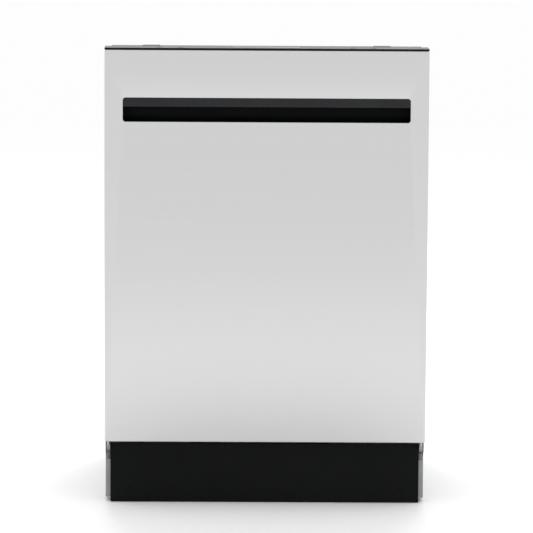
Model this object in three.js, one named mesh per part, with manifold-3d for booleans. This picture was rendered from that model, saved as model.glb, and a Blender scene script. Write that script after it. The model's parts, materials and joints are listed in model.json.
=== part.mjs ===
// A 24-inch built-in dishwasher: steel door, tub, two racks, spray arms, pumps and base.
// Millimetres, +Z up, the door faces -Y. The origin is on the floor under the middle of the box.
import * as THREE from 'three';
import { mergeVertices } from 'three/addons/utils/BufferGeometryUtils.js';
import Module from 'manifold-3d';

const wasm = await Module();
wasm.setup();

// Driving dimensions
const WIDTH = 603;
const HEIGHT = 860;
const DEPTH = 622;
const GAP = 0.3; // clearance between pieces that touch
const SHEET = 1.5; // formed steel sheet
const HINGE_Y = -281;
const HINGE_Z = 108;
const DOOR_BOTTOM = 119.5;
const DOOR_TOP = 856;
const DOOR_BACK = -260.5; // back of the inner panel's rim
const LINER_BACK = -251; // back of the inner panel's raised middle
const TUB_HALF = 280; // inside half width of the tub
const TUB_FRONT = -250;
const TUB_BACK = 288;
const TUB_TOP = 816.5;
const BASE_TOP = 118.5;
const KICK_FRONT = -283;
const LEDGE_Z = 139; // track that the lower wheels roll on
const FLOOR_Z = 122;
const HUB_Y = 20; // spray arm axis
const FILTER_Y = -95;
const POCKET_HALF = 267.4;
const POCKET_LOW = 722.3;
const POCKET_HIGH = 767;
const RAIL_Z = 600;
const BRACE_TOP = 858.7;
const CONSOLE_TOP = 859.6;
const BUTTON_RADIUS = 6;
const BUTTON_Y = -284;
const BUTTON_X = [-200, -160, 160, 200];

const FRONT = -DEPTH / 2;
const BACK = DEPTH / 2;
const HALF = WIDTH / 2;

// Shape makers. Each returns a solid.
function solidOf(geometry) {
  geometry.deleteAttribute('normal');
  geometry.deleteAttribute('uv');
  const merged = mergeVertices(geometry, 1e-4);
  const vertProperties = new Float32Array(merged.attributes.position.array);
  const triVerts = new Uint32Array(merged.index.array);
  return new wasm.Manifold(new wasm.Mesh({ numProp: 3, vertProperties, triVerts }));
}

function box(x, y, z) {
  const geometry = new THREE.BoxGeometry(x[1] - x[0], y[1] - y[0], z[1] - z[0]);
  geometry.translate((x[0] + x[1]) / 2, (y[0] + y[1]) / 2, (z[0] + z[1]) / 2);
  return solidOf(geometry);
}

function extruded(points, span, basis) {
  const shape = new THREE.Shape(points.map(([u, v]) => new THREE.Vector2(u, v)));
  const options = { depth: span[1] - span[0], bevelEnabled: false };
  const geometry = new THREE.ExtrudeGeometry(shape, options);
  geometry.translate(0, 0, span[0]);
  geometry.applyMatrix4(new THREE.Matrix4().makeBasis(...basis));
  return solidOf(geometry);
}

const X = new THREE.Vector3(1, 0, 0);
const Y = new THREE.Vector3(0, 1, 0);
const Z = new THREE.Vector3(0, 0, 1);

const alongX = (yz, span) => extruded(yz, span, [Y, Z, X]);
const alongZ = (xy, span) => extruded(xy, span, [X, Y, Z]);

// A turned piece: profile of [radius, height] points, about a vertical axis at x, y
function turned(profile, [x, y, z], sides = 16) {
  const points = profile.map(([r, h]) => new THREE.Vector2(r, h));
  const geometry = new THREE.LatheGeometry(points, sides);
  geometry.rotateX(Math.PI / 2);
  geometry.translate(x, y, z);
  return solidOf(geometry);
}

function disc(radius, span, [x, y], sides = 16) {
  const [low, high] = span;
  return turned([[0, low], [radius, low], [radius, high], [0, high]], [x, y, 0], sides);
}

// A straight round bar between two points
function bar(a, b, radius, sides = 8) {
  const from = new THREE.Vector3(...a);
  const reach = new THREE.Vector3(...b).sub(from);
  const geometry = new THREE.CylinderGeometry(radius, radius, reach.length(), sides);
  geometry.applyQuaternion(new THREE.Quaternion().setFromUnitVectors(Y, reach.clone().normalize()));
  const middle = from.addScaledVector(reach, 0.5);
  geometry.translate(middle.x, middle.y, middle.z);
  return solidOf(geometry);
}

function tube(points, radius, steps, sides = 8) {
  const path = new THREE.CatmullRomCurve3(points.map((p) => new THREE.Vector3(...p)));
  const ring = [];
  for (let i = 0; i < sides; i += 1) {
    const turn = (2 * Math.PI * i) / sides;
    ring.push(new THREE.Vector2(radius * Math.cos(turn), radius * Math.sin(turn)));
  }
  const options = { steps, extrudePath: path, bevelEnabled: false };
  return solidOf(new THREE.ExtrudeGeometry(new THREE.Shape(ring), options));
}

const join = (first, ...rest) => rest.reduce((whole, piece) => whole.add(piece), first);
const cut = (first, ...rest) => rest.reduce((whole, piece) => whole.subtract(piece), first);

// Points of an arc, in degrees
function arc(u, v, radius, from, to, steps) {
  const points = [];
  for (let i = 0; i <= steps; i += 1) {
    const turn = THREE.MathUtils.degToRad(from + ((to - from) * i) / steps);
    points.push([u + radius * Math.cos(turn), v + radius * Math.sin(turn)]);
  }
  return points;
}

// Finishes: colour, roughness, metalness
const STEEL = [0xc9c9c9, 0.36, 1];
const TUB_STEEL = [0xbfc2c4, 0.28, 1];
const GALVANISED = [0xa7a9aa, 0.5, 0.9];
const GLOSS_BLACK = [0x0c0d0f, 0.12, 0];
const SATIN_BLACK = [0x17191a, 0.5, 0];
const RUBBER = [0x1b1b1c, 0.8, 0];
const GREY_PLASTIC = [0x70747a, 0.5, 0];
const LIGHT_PLASTIC = [0xb9bdc2, 0.45, 0];
const RACK_COAT = [0x8f959c, 0.4, 0];
const FELT = [0x2c2c2e, 0.95, 0];
const BOARD_GREEN = [0x1f5a36, 0.5, 0];

const dishwasher = new THREE.Group();

function add(name, solid, [color, roughness, metalness]) {
  const data = solid.getMesh();
  const geometry = new THREE.BufferGeometry();
  geometry.setAttribute('position', new THREE.BufferAttribute(data.vertProperties, 3));
  geometry.setIndex(new THREE.BufferAttribute(data.triVerts, 1));
  const material = new THREE.MeshStandardMaterial({ color, roughness, metalness });
  const mesh = new THREE.Mesh(geometry, material);
  mesh.name = name;
  dishwasher.add(mesh);
}

const SIDES = [['left', -1], ['right', 1]];
const spanAt = (side, low, high) => (side > 0 ? [low, high] : [-high, -low]);

// Tub: one folded sheet makes the top and both sides, with a rim turned out at the front
function addTub() {
  const outer = TUB_HALF + SHEET;
  const top = TUB_TOP + SHEET;
  const foot = 121;
  const rimOut = 291;
  const rimTop = 829;
  const wrap = cut(
    box([-outer, outer], [TUB_FRONT, TUB_BACK], [foot, top]),
    box([-TUB_HALF, TUB_HALF], [TUB_FRONT - 1, TUB_BACK + 1], [foot - 1, TUB_TOP]),
  );
  const rim = cut(
    box([-rimOut, rimOut], [TUB_FRONT, TUB_FRONT + SHEET], [foot, rimTop]),
    box([-TUB_HALF, TUB_HALF], [TUB_FRONT - 1, TUB_FRONT + 3], [foot - 1, TUB_TOP]),
  );
  add('tub_wrapper', join(wrap, rim), TUB_STEEL);
  add('tub_back', box([-outer, outer], [TUB_BACK + GAP, TUB_BACK + GAP + SHEET], [foot, top]), TUB_STEEL);

  // The moulded floor: raised tracks at the sides and sills, a well between them
  const reach = TUB_HALF - GAP;
  const well = 236;
  const boss = 14;
  const floor = cut(
    box([-reach, reach], [TUB_FRONT + 0.5, TUB_BACK], [BASE_TOP + GAP, LEDGE_Z]),
    box([-well, well], [-215, 262], [FLOOR_Z, LEDGE_Z + 1]),
    disc(42, [BASE_TOP - 1, FLOOR_Z + 1], [0, FILTER_Y], 20),
  );
  add('tub_floor', join(floor, disc(boss, [FLOOR_Z - 1, 140], [0, HUB_Y], 12)), GREY_PLASTIC);

  // Rubber seal round the opening, held in front of the rim
  const seal = cut(
    box([-rimOut, rimOut], [DOOR_BACK + GAP, TUB_FRONT - GAP], [128, rimTop]),
    box([-TUB_HALF, TUB_HALF], [DOOR_BACK - 1, TUB_FRONT + 1], [127, TUB_TOP + 2]),
  );
  add('tub_gasket', seal, RUBBER);

  // Sound blanket over the top and sides
  const inner = outer + 1;
  const thick = 9;
  const blanket = cut(
    box([-inner - thick, inner + thick], [-235, 285], [125, top + 1 + thick]),
    box([-inner, inner], [-236, 286], [124, top + 1]),
  );
  add('insulation_blanket', blanket, FELT);
}

// Top brace across the front, with the two tabs that screw to the counter and the latch's strike
function addBrace() {
  const front = -248;
  const back = -219;
  const top = BRACE_TOP;
  const low = 829.6;
  const plate = box([-290, 290], [front, back], [top - SHEET, top]);
  const apron = cut(
    box([-290, 290], [front, front + SHEET], [low, top]),
    box([-25, 25], [front - 1, front + 3], [low - 1, top - SHEET - 2]),
  );
  const web = box([-290, 290], [back - SHEET, back], [low, top]);
  for (const [name, side] of SIDES) {
    const x = spanAt(side, 200, 232);
    add(`mounting_bracket_${name}`, box(x, [front + 3, back - 4], [top + GAP, top + GAP + 1]), GALVANISED);
  }
  const bail = cut(
    box([-14, 14], [-249.8, -246.2], [844, 856.5]),
    box([-9, 9], [-251, -245], [843, 851]),
  );
  const stem = box([-14, 14], [-249.8, -246.2], [856, 858]);
  add('top_brace', join(plate, apron, web, bail, stem), GALVANISED);
}

// Base: two side plates with ears for the door's pivots, a front rail, a pan and the toe kick
function addBase() {
  const outer = 300;
  const plate = 2;
  const low = 7.5;
  const earRadius = 10.5;
  const pinRadius = 4;
  for (const [name, side] of SIDES) {
    const outline = [
      [BACK, low],
      [BACK, BASE_TOP],
      [HINGE_Y + 14, BASE_TOP],
      ...arc(HINGE_Y, HINGE_Z, earRadius, 90, 270, 8),
      [-268, 88],
      [-268, low],
    ];
    const flange = cut(
      box(spanAt(side, 268, outer), [-268, -268 + SHEET], [low, BASE_TOP]),
      box(spanAt(side, 292.9, 296.7), [-269, -266], [80, BASE_TOP + 1]),
    );
    const shelf = box(spanAt(side, 284, outer), [-230, BACK], [BASE_TOP - SHEET, BASE_TOP]);
    const pin = bar([side * 291.6, HINGE_Y, HINGE_Z], [side * 299, HINGE_Y, HINGE_Z], pinRadius, 12);
    const side_plate = alongX(outline, spanAt(side, outer - plate, outer));
    add(`base_side_${name}`, join(side_plate, flange, shelf, pin), GALVANISED);
  }
  const footHole = (x, y) => disc(9, [0, 60], [x, y], 12);
  const rail = cut(
    box([-267.5, 267.5], [-266, -226], [12, 40]),
    box([-266, 266], [-264.5, -227.5], [13.5, 41]),
    footHole(-245, -246),
    footHole(245, -246),
  );
  add('base_front_rail', rail, GALVANISED);
  const pan = cut(
    box([-297.5, 297.5], [-225, 309], [10, 36]),
    box([-296, 296], [-223.5, 307.5], [11.5, 37]),
    footHole(-245, 270),
    footHole(245, 270),
  );
  add('base_pan', pan, GALVANISED);
  // The toe kick is a shallow tray on edge, folded back along its sides and bottom.
  // Two lugs behind it are screwed to the front rail.
  const kickHalf = 290.6;
  const kickBack = -268 - GAP;
  const kick = cut(
    box([-kickHalf, kickHalf], [KICK_FRONT, kickBack], [1, 113]),
    box([-kickHalf + SHEET, kickHalf - SHEET], [KICK_FRONT + SHEET, kickBack + 1], [1 + SHEET, 114]),
  );
  const lugs = SIDES.map(([, side]) => {
    return box(spanAt(side, 250, 264), [KICK_FRONT + 1, -266 - GAP], [18, 36]);
  });
  add('toe_kick', join(kick, ...lugs), SATIN_BLACK);
}

// Threaded legs, each a foot pad on a stud
function addLegs() {
  const padRadius = 19;
  const studRadius = 5;
  const profile = [[0, 0], [padRadius, 0], [padRadius, 5], [studRadius, 8], [studRadius, 62], [0, 62]];
  for (const [row, y] of [['front', -246], ['rear', 270]]) {
    for (const [name, side] of SIDES) {
      add(`leg_${row}_${name}`, turned(profile, [side * 245, y, 0], 12), SATIN_BLACK);
    }
  }
}

// Springs behind the pivots, which pull the hinge arms' tails down to balance the door
function addSprings() {
  for (const [name, side] of SIDES) {
    add(`door_spring_${name}`, disc(5, [16, 74], [side * 288.5, -257], 10), GALVANISED);
  }
}

// Water works under the tub
function addWaterWorks() {
  const sump = turned(
    [[0, 58], [46, 58], [58, 74], [58, 118], [54, 118], [54, 76], [44, 62], [0, 62]],
    [0, FILTER_Y, 0],
    20,
  );
  add('sump', sump, GREY_PLASTIC);
  const pumpZ = 76;
  const pump = join(
    bar([-20, 40, pumpZ], [70, 40, pumpZ], 34, 16),
    bar([70, 40, pumpZ], [128, 40, pumpZ], 26, 16),
    bar([-42, 40, pumpZ], [-20, 40, pumpZ], 16, 12),
  );
  add('circulation_pump', pump, GREY_PLASTIC);
  const drainZ = 70;
  const drain = join(
    bar([-140, FILTER_Y, drainZ], [-84, FILTER_Y, drainZ], 25, 16),
    bar([-84, FILTER_Y, drainZ], [-60, FILTER_Y, drainZ], 12, 12),
    bar([-104, FILTER_Y, drainZ], [-104, FILTER_Y + 46, drainZ], 9, 12),
  );
  add('drain_pump', drain, SATIN_BLACK);
  const valve = join(
    box([-215, -165], [-205, -165], [44, 84]),
    bar([-190, -166, 64], [-190, -134, 64], 11, 12),
    bar([-190, -204, 64], [-190, -216, 64], 13, 12),
  );
  add('inlet_valve', valve, LIGHT_PLASTIC);
  const junction = cut(
    box([170, 252], [-215, -145], [38, 96]),
    box([171.5, 250.5], [-213.5, -146.5], [36, 94.5]),
  );
  add('junction_box', junction, GALVANISED);

  // Heating loop in the well, a ring open at the back where its ends go down
  const loop = arc(0, HUB_Y, 186, -75, 255, 18).map(([x, y]) => [-x, 2 * HUB_Y - y, 133]);
  add('heater', tube(loop, 4, 26, 6), STEEL);

  // Feed pipe up the back wall to the docking port and the top sprayer
  const pipe = join(
    tube(
      [[0, 272, 139.5], [0, 272, 500], [0, 272, 770], [0, 262, 797], [0, 236, 804], [0, HUB_Y, 804]],
      9,
      22,
    ),
    bar([0, 272, 509], [0, 252, 509], 11, 10),
    disc(24, [786, 800], [0, HUB_Y], 12),
  );
  add('riser_tube', pipe, LIGHT_PLASTIC);

  // Filters: a fine plate in the well round the lift-out cup
  const plate = cut(
    disc(128, [124, 125.5], [0, -40], 24),
    disc(43, [123, 127], [0, FILTER_Y], 20),
    disc(16, [123, 127], [0, HUB_Y], 12),
  );
  add('filter_plate', plate, STEEL);
  const cup = join(
    turned(
      [
        [0, 78], [34, 78], [37, 84], [37, 126.5], [41, 128],
        [41, 131], [34, 131], [34, 84], [31, 81], [0, 81],
      ],
      [0, FILTER_Y, 0],
      20,
    ),
    box([-35, 35], [FILTER_Y - 3, FILTER_Y + 3], [124, 137]),
  );
  add('filter_cup', cup, LIGHT_PLASTIC);
  const dome = [[0, 124], [20, 124], [22, 128], [18, 142], [8, 148], [0, 149]];
  const float = turned(dome, [-200, -180, 0], 14);
  add('float', float, LIGHT_PLASTIC);
}

// A spray arm: a hub with two tapered blades
function sprayArm(z, reach, wide) {
  const blade = [
    [-18, -22],
    [18, -22],
    [reach - 8, -wide],
    [reach, 0],
    [reach - 8, wide],
    [18, 22],
    [-18, 22],
    [-reach + 8, wide],
    [-reach, 0],
    [-reach + 8, -wide],
  ];
  const turnedBlade = blade.map(([x, y]) => [x, y + HUB_Y]);
  return join(alongZ(turnedBlade, [z, z + 9]), disc(24, [z - 3, z + 13], [0, HUB_Y], 16));
}

// A wire rack: U-shaped wires both ways, tied by a rim
function wireRack({ half, front, back, floor, top, lean, across, along }) {
  const wire = 2.2;
  const sides = 4;
  const lift = 1.5; // cross wires lie on the lengthwise ones
  const pieces = [];
  for (let i = 0; i <= across; i += 1) {
    const x = -half + (2 * half * i) / across;
    pieces.push(bar([x, front, floor], [x, back, floor], wire, sides));
    pieces.push(bar([x, front, floor - 1], [x, front - lean, top], wire, sides));
    pieces.push(bar([x, back, floor - 1], [x, back, top], wire, sides));
  }
  for (let i = 0; i <= along; i += 1) {
    const y = front + ((back - front) * i) / along;
    pieces.push(bar([-half - 1, y, floor + lift], [half + 1, y, floor + lift], wire, sides));
    pieces.push(bar([-half, y, floor], [-half, y, top], wire, sides));
    pieces.push(bar([half, y, floor], [half, y, top], wire, sides));
  }
  const rimFront = front - lean;
  const rim = 3;
  pieces.push(bar([-half, rimFront, top], [-half, back, top], rim, 6));
  pieces.push(bar([half, rimFront, top], [half, back, top], rim, 6));
  pieces.push(bar([-half - 2, rimFront, top], [half + 2, rimFront, top], rim, 6));
  pieces.push(bar([-half - 2, back, top], [half + 2, back, top], rim, 6));
  return join(...pieces);
}

const LOWER_HALF = 246;
const WHEEL_RADIUS = 18;
const WHEEL_Z = LEDGE_Z + 0.5 + WHEEL_RADIUS;
const WHEEL_Y = [['front', -116], ['rear', 170]];

// Lower rack on four wheels, with its silverware basket and spray arm
function addLowerRack() {
  const rack = wireRack({
    half: LOWER_HALF, front: -190, back: 240, floor: 168, top: 320, lean: 38, across: 6, along: 6,
  });
  add('lower_rack', rack, RACK_COAT);
  for (const [name, side] of SIDES) {
    const [[, front], [, rear]] = WHEEL_Y;
    const strip = box(spanAt(side, 248.5, 251), [front - 12, rear + 12], [WHEEL_Z - 8, 177]);
    const stubs = WHEEL_Y.map(([, y]) => bar([side * 250, y, WHEEL_Z], [side * 264, y, WHEEL_Z], 4, 10));
    add(`wheel_carrier_${name}`, join(strip, ...stubs), GREY_PLASTIC);
  }
  for (const [row, y] of WHEEL_Y) {
    for (const [name, side] of SIDES) {
      const rim = bar([side * 252, y, WHEEL_Z], [side * 262, y, WHEEL_Z], WHEEL_RADIUS, 20);
      const bore = bar([side * 251, y, WHEEL_Z], [side * 263, y, WHEEL_Z], 4.4, 10);
      add(`lower_wheel_${row}_${name}`, cut(rim, bore), GREY_PLASTIC);
    }
  }
  const wall = 2.5;
  const x = [132, 224];
  const y = [-150, 110];
  const cells = 3;
  const pitch = (y[1] - y[0] - wall) / cells;
  let basket = box(x, y, [174, 300]);
  for (let i = 0; i < cells; i += 1) {
    const from = y[0] + wall + pitch * i;
    basket = cut(basket, box([x[0] + wall, x[1] - wall], [from, from + pitch - wall], [177, 301]));
  }
  const post = box([174, 182], [-22, -18], [299, 338]);
  add('silverware_basket', join(basket, box([171, 185], [-66, 25], [176, 300]), post), GREY_PLASTIC);
  add('lower_spray_arm', sprayArm(146.5, 222, 15), GREY_PLASTIC);
}

const UPPER_HALF = 244;

// Upper rack on telescoping rails, with its feed pipe and spray arm
function addUpperRack() {
  const rack = wireRack({
    half: UPPER_HALF, front: -200, back: 225, floor: 522, top: 640, lean: 24, across: 6, along: 6,
  });
  const feed = join(
    bar([0, 248, 509], [0, HUB_Y, 509], 9, 10),
    disc(11, [502.5, 524], [0, HUB_Y], 12),
    box([-8, 8], [215, 229], [509, 526]),
  );
  const hangers = [];
  for (const [, side] of SIDES) {
    const hangerX = spanAt(side, UPPER_HALF - 1, UPPER_HALF + 6);
    hangers.push(box(hangerX, [-120, 150], [RAIL_Z - 22, RAIL_Z + 22]));
    hangers.push(box(spanAt(side, UPPER_HALF + 5, 254.5), [-120, 150], [RAIL_Z - 5, RAIL_Z + 5]));
  }
  add('upper_rack', join(rack, feed, ...hangers), RACK_COAT);
  add('upper_spray_arm', sprayArm(487, 205, 14), GREY_PLASTIC);
  for (const [name, side] of SIDES) {
    const rail = cut(
      box(spanAt(side, 255, 266), [-226, 240], [RAIL_Z - 13, RAIL_Z + 13]),
      box(spanAt(side, 254, 258), [-227, 241], [RAIL_Z - 8, RAIL_Z + 8]),
    );
    add(`upper_rail_${name}`, rail, STEEL);
    const bracket = cut(
      box(spanAt(side, 258, TUB_HALF - GAP), [-232, 246], [RAIL_Z - 19, RAIL_Z + 19]),
      box(spanAt(side, 257, 268), [-233, 247], [RAIL_Z - 15, RAIL_Z + 15]),
    );
    add(`rail_bracket_${name}`, bracket, STEEL);
  }
}

// Door: folded steel skin, inner liner, console, handle cup and hinge arms
function addDoor() {
  const skin = 1.2;
  const returnDepth = 46;
  const shell = cut(
    box([-HALF, HALF], [FRONT, FRONT + returnDepth], [DOOR_BOTTOM, DOOR_TOP]),
    box(
      [-HALF + skin, HALF - skin],
      [FRONT + skin, FRONT + returnDepth + 1],
      [DOOR_BOTTOM + skin, DOOR_TOP + 1],
    ),
    box([-POCKET_HALF, POCKET_HALF], [FRONT - 1, FRONT + 3], [POCKET_LOW, POCKET_HIGH]),
    box([-HALF + 14, HALF - 14], [FRONT + 26, FRONT + returnDepth + 1], [DOOR_BOTTOM - 1, DOOR_BOTTOM + 3]),
    box([-297.3, -292.3], [-299, FRONT + returnDepth + 1], [DOOR_BOTTOM - 1, DOOR_BOTTOM + 3]),
    box([292.3, 297.3], [-299, FRONT + returnDepth + 1], [DOOR_BOTTOM - 1, DOOR_BOTTOM + 3]),
  );
  add('door_outer_panel', shell, STEEL);

  const rimX = 292.5;
  const plateauX = 272;
  const window = [[-70, 100], [432, 562]];
  const liner = cut(
    join(
      box([-rimX, rimX], [DOOR_BACK - SHEET, DOOR_BACK], [124, 792]),
      box([-plateauX, plateauX], [DOOR_BACK - SHEET, LINER_BACK], [152, 780]),
    ),
    box([-plateauX + SHEET, plateauX - SHEET], [DOOR_BACK - 3, LINER_BACK - SHEET], [153.5, 778.5]),
    box(window[0], [DOOR_BACK - 4, LINER_BACK + 1], window[1]),
  );
  add('door_inner_panel', liner, TUB_STEEL);

  const consoleFront = FRONT + skin + GAP;
  const wall = 2.5;
  const consoleHalf = 299.6;
  const low = 795;
  let console = join(
    box([-consoleHalf, consoleHalf], [consoleFront, DOOR_BACK], [low, CONSOLE_TOP]),
    box([-HALF, HALF], [FRONT + 0.4, -254], [DOOR_TOP + GAP, CONSOLE_TOP]),
  );
  console = cut(
    console,
    box(
      [-consoleHalf + wall, consoleHalf - wall],
      [consoleFront + wall, DOOR_BACK - wall],
      [low - 1, CONSOLE_TOP - wall],
    ),
    box([-9, 9], [DOOR_BACK - 5, DOOR_BACK + 1], [830, 852]),
  );
  for (const x of BUTTON_X) {
    console = cut(console, disc(BUTTON_RADIUS + 0.5, [850, 861], [x, BUTTON_Y], 14));
  }
  add('console', console, GLOSS_BLACK);
  for (const [index, x] of BUTTON_X.entries()) {
    add(`button_${index + 1}`, disc(BUTTON_RADIUS, [852, HEIGHT], [x, BUTTON_Y], 14), GLOSS_BLACK);
  }

  // The handle: a cup behind the opening, with a grip lip across its top
  const cupFront = consoleFront;
  const cup = [
    [cupFront, 717],
    [-267, 717],
    [-267, 785],
    [cupFront, 785],
    [cupFront, 750.5],
    [cupFront + 5, 748.5],
    [cupFront + 6, 780],
    [-270, 780],
    [-270, 727],
    [-274, 721],
    [cupFront, 721],
  ];
  const cupHalf = 269;
  const ends = [-1, 1].map((side) => box(spanAt(side, cupHalf, cupHalf + 2), [cupFront, -267], [717, 785]));
  add('handle_pocket', join(alongX(cup, [-cupHalf - 1, cupHalf + 1]), ...ends), GLOSS_BLACK);

  add('control_board', box([-240, -60], [-303, -268], [812, 814]), BOARD_GREEN);
  const housing = cut(
    box([-26, 26], [-302, -264], [814, 852]),
    box([-6, 6], [-284, -263], [813, 853]),
  );
  add('latch_housing', housing, GREY_PLASTIC);
  const hook = [
    ...arc(-272, 840, 6, 90, 270, 6),
    [-236, 836],
    [-236, 848],
    [-240, 848],
    [-240, 842],
    [-268, 843],
  ];
  add('latch_hook', alongX(hook, [-4, 4]), GALVANISED);

  // Hinge arms: a plate up inside the door, an eye on the pin and a tail for the spring
  for (const [name, side] of SIDES) {
    const arm = [
      [-300, 128],
      [-300, 260],
      [-268, 260],
      [-268, 122],
      ...arc(-257, 84, 8, 45, -135, 6),
      ...arc(HINGE_Y, HINGE_Z, 9.5, -120, -180, 4),
    ];
    const plate = alongX(arm, spanAt(side, 293.3, 296.3));
    const eye = bar([side * 290, HINGE_Y, HINGE_Z], [side * 299, HINGE_Y, HINGE_Z], 4.5, 12);
    add(`hinge_arm_${name}`, cut(plate, eye), GALVANISED);
  }

  // Detergent dispenser in the liner, with its sliding lid and the rinse-aid cap
  const face = LINER_BACK + 2;
  const tray = cut(
    box([window[0][0] + 1, window[0][1] - 1], [DOOR_BACK - 24, face], [window[1][0] + 1, window[1][1] - 1]),
    box([-56, 6], [DOOR_BACK - 20, face + 1], [450, 540]),
    disc(18, [-1, 30], [0, 0], 16).rotate([90, 0, 0]).translate([55, face + 14, 497]),
  );
  add('dispenser', tray, GREY_PLASTIC);
  add('dispenser_lid', box([-59, 9], [face + GAP, face + 3], [446, 544]), LIGHT_PLASTIC);
  const cap = bar([55, face - 10, 497], [55, face + 1.5, 497], 16, 16);
  add('rinse_cap', cap, LIGHT_PLASTIC);
}

addTub();
addBrace();
addBase();
addLegs();
addSprings();
addWaterWorks();
addLowerRack();
addUpperRack();
addDoor();

export default dishwasher;
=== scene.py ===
import json
from math import cos, pi, radians, sin

import bmesh
import bpy
from mathutils import Matrix, Vector

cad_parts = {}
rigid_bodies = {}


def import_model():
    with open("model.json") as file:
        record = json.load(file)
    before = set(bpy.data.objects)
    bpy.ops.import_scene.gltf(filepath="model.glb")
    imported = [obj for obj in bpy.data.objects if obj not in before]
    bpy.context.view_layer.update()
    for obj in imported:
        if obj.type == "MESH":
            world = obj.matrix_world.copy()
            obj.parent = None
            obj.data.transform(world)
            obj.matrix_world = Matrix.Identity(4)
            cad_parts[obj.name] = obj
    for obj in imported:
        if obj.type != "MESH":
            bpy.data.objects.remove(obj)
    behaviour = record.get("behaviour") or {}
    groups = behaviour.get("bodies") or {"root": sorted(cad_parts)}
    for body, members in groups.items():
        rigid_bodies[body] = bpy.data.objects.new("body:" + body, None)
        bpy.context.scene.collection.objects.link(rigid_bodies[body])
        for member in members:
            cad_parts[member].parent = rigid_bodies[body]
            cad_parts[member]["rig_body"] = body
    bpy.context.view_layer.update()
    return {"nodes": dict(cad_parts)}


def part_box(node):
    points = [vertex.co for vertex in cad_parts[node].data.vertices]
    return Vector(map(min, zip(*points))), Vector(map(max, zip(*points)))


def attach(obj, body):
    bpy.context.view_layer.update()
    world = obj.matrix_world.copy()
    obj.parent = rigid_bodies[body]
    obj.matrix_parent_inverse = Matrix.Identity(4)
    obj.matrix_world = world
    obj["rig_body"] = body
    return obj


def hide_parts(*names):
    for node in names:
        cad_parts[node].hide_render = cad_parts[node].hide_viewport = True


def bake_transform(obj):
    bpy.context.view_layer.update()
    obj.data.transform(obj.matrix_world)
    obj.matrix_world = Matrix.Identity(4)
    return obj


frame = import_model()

# ---------------------------------------------------------------------------
# The room and the camera
# A white studio: a pale floor that runs out of sight, an even sky and one soft
# light overhead. A long lens stands well back, a little above the door's top.
# ---------------------------------------------------------------------------
FLOOR_SIZE = 120
LENS_MM = 255.2
CAMERA_AT = (-0.0562, -7.311, 1.316)
TILT_DOWN = 7.033
TURN_RIGHT = 0.47
ROLL = 0.345

scene = bpy.context.scene
scene.view_settings.view_transform = "Standard"
world = bpy.data.worlds.new("studio")
scene.world = world
world.use_nodes = True
world.node_tree.nodes["Background"].inputs["Color"].default_value = (1, 1, 1, 1)
world.node_tree.nodes["Background"].inputs["Strength"].default_value = 1.0


def keep(name, mesh):
    """Puts a finished mesh into the scene as an object."""
    piece = bpy.data.objects.new(name, mesh)
    scene.collection.objects.link(piece)
    return piece


def floor_paint():
    paint = bpy.data.materials.new("floor_paint")
    paint.use_nodes = True
    nodes, links = paint.node_tree.nodes, paint.node_tree.links
    shader = nodes["Principled BSDF"]
    noise = nodes.new("ShaderNodeTexNoise")
    noise.inputs["Scale"].default_value = 3
    tone = nodes.new("ShaderNodeMapRange")
    tone.inputs["To Min"].default_value = 0.985
    tone.inputs["To Max"].default_value = 0.995
    links.new(noise.outputs["Fac"], tone.inputs["Value"])
    links.new(tone.outputs["Result"], shader.inputs["Base Color"])
    shader.inputs["Roughness"].default_value = 0.9
    return paint


form = bmesh.new()
bmesh.ops.create_grid(form, x_segments=4, y_segments=4, size=FLOOR_SIZE / 2)
floor_mesh = bpy.data.meshes.new("studio_floor")
form.to_mesh(floor_mesh)
form.free()
studio_floor = keep("studio_floor", floor_mesh)
studio_floor.data.materials.append(floor_paint())

lamp = bpy.data.lights.new("overhead", "AREA")
lamp.energy = 75
lamp.size = 1.6
overhead = bpy.data.objects.new("overhead", lamp)
overhead.location = (0.05, 1.5, 3.2)
overhead.rotation_euler = (radians(-26), 0, 0)
scene.collection.objects.link(overhead)

camera_data = bpy.data.cameras.new("camera")
camera_data.lens = LENS_MM
camera_data.clip_end = 200
camera = bpy.data.objects.new("camera", camera_data)
camera.matrix_world = (
    Matrix.Translation(CAMERA_AT)
    @ Matrix.Rotation(radians(-TURN_RIGHT), 4, "Z")
    @ Matrix.Rotation(radians(90 - TILT_DOWN), 4, "X")
    @ Matrix.Rotation(radians(ROLL), 4, "Z")
)
scene.collection.objects.link(camera)
scene.camera = camera

# ---------------------------------------------------------------------------
# The base: side plates, front rail and pan
# Folded galvanised sheet, spot-welded and screwed, open to the back. The cut
# edges are lightly eased, and the zinc shows a soft cloudy spangle.
# ---------------------------------------------------------------------------
MM = 0.001
SHEET_EASE = 0.35 * MM
BASE_SCREW_Y = (-0.16, 0.06, 0.26)
BASE_SCREW_Z = (0.03, 0.095)


def body_of(node):
    return frame["nodes"][node]["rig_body"]


def fit(piece, node, finish):
    """The piece stands for that CAD node, on its body and in its finish."""
    piece.data.materials.clear()
    piece.data.materials.append(finish)
    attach(piece, body_of(node))
    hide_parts(node)
    return piece


def trim(piece, body, finish):
    """A small piece with no CAD node of its own, carried by a body."""
    piece.data.materials.clear()
    piece.data.materials.append(finish)
    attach(piece, body)
    return piece


def soften(piece, width, segments=2):
    bevel = piece.modifiers.new("eased_edges", "BEVEL")
    bevel.width = width
    bevel.segments = segments
    bevel.limit_method = "ANGLE"
    bevel.angle_limit = radians(34)
    bevel.harden_normals = True
    return piece


def smooth_faces(shape):
    for face in shape.faces:
        face.smooth = True
    for edge in shape.edges:
        edge.smooth = edge.calc_face_angle(0) < radians(34)


def formed(name, shape):
    """Turns a finished bmesh into a smooth-shaded object."""
    bmesh.ops.recalc_face_normals(shape, faces=shape.faces)
    smooth_faces(shape)
    mesh = bpy.data.meshes.new(name)
    shape.to_mesh(mesh)
    shape.free()
    return keep(name, mesh)


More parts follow.
